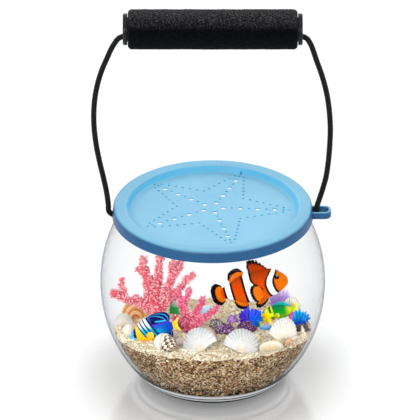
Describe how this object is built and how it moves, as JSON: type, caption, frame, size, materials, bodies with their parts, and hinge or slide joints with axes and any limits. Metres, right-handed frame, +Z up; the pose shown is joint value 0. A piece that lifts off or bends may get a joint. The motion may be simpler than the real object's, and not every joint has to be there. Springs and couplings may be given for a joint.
{
  "type": "portable fish tank",
  "caption": "Clear round bowl with a push-on vented lid and a cord bail with a foam grip, dressed with sand, coral, toy fish and shells.",
  "frame": {"origin": "centre of the bowl's flat foot, on the surface it stands on", "axes": "+Z up along the bowl's axis, +X towards the lid's loop tab, -Y towards the picture's viewer"},
  "size_m": [0.151, 0.141, 0.2564],
  "materials": {
    "bowl_clear": "polished",
    "lid_blue": "satin",
    "cord_black": "matte",
    "crimp_metal": "satin",
    "foam_black": "matte",
    "grip_black": "gloss",
    "sand": "matte",
    "coral_pink": "matte",
    "clownfish_orange": "satin",
    "angelfish_blue": "satin",
    "green_fish": "satin",
    "anemone_violet": "satin",
    "plant_purple": "satin",
    "anemone_cyan": "satin",
    "starfish_yellow": "matte",
    "rock_purple": "matte",
    "rock_grey": "matte",
    "rock_lilac": "matte",
    "shell_white": "satin",
    "shell_cream": "satin",
    "shell_brown": "satin",
    "pebble_blue": "gloss",
    "sea_glass_green": "satin",
    "sea_glass_blue": "satin"
  },
  "bodies": {
    "tank": {"bowl": "bowl_clear", "clownfish_rod": "bowl_clear", "sand_bed": "sand", "coral_large": "coral_pink", "coral_small": "coral_pink", "clownfish": "clownfish_orange", "angelfish": "angelfish_blue", "green_fish": "green_fish", "anemone_violet": "anemone_violet", "sea_plant_purple": "plant_purple", "anemone_cyan": "anemone_cyan", "starfish": "starfish_yellow", "rock_purple_front": "rock_purple", "rock_purple_right": "rock_purple", "rock_grey": "rock_grey", "rock_dark": "rock_grey", "rock_lilac": "rock_lilac", "scallop_front_left": "shell_white", "scallop_front_right": "shell_white", "cowrie_small": "shell_white", "cowrie_left": "shell_white", "scallop_right": "shell_cream", "scallop_back_right": "shell_cream", "scallop_left": "shell_cream", "pointed_shell": "shell_cream", "clam_shell": "shell_cream", "scallop_back_left": "shell_brown", "spiral_shell": "shell_brown", "shell_brown": "shell_brown", "pebble_blue": "pebble_blue", "sea_glass_green": "sea_glass_green", "sea_glass_blue": "sea_glass_blue"},
    "lid": {"lid": "lid_blue", "cord_end_left": "cord_black", "cord_end_right": "cord_black", "cord_crimp_left": "crimp_metal", "cord_crimp_right": "crimp_metal"},
    "bail": {"carry_cord": "cord_black"},
    "grip": {"foam_sleeve": "foam_black", "core_tube": "grip_black", "end_cap_left": "grip_black", "end_cap_right": "grip_black"}
  },
  "joints": [
    {"name": "lid_lift", "type": "slide", "parent": "tank", "child": "lid", "axis": [0, 0, 1], "range_m": [0, 0.15]},
    {"name": "bail_swing", "type": "hinge", "parent": "lid", "child": "bail", "pos_m": [0, 0, 0.1196], "axis": [1, 0, 0], "range_deg": [-90, 90], "stiffness_Nm_per_rad": 0.038, "springref_deg": 0},
    {"name": "grip_turn", "type": "hinge", "parent": "bail", "child": "grip", "pos_m": [0, 0, 0.2439], "axis": [1, 0, 0], "continuous": true}
  ]
}
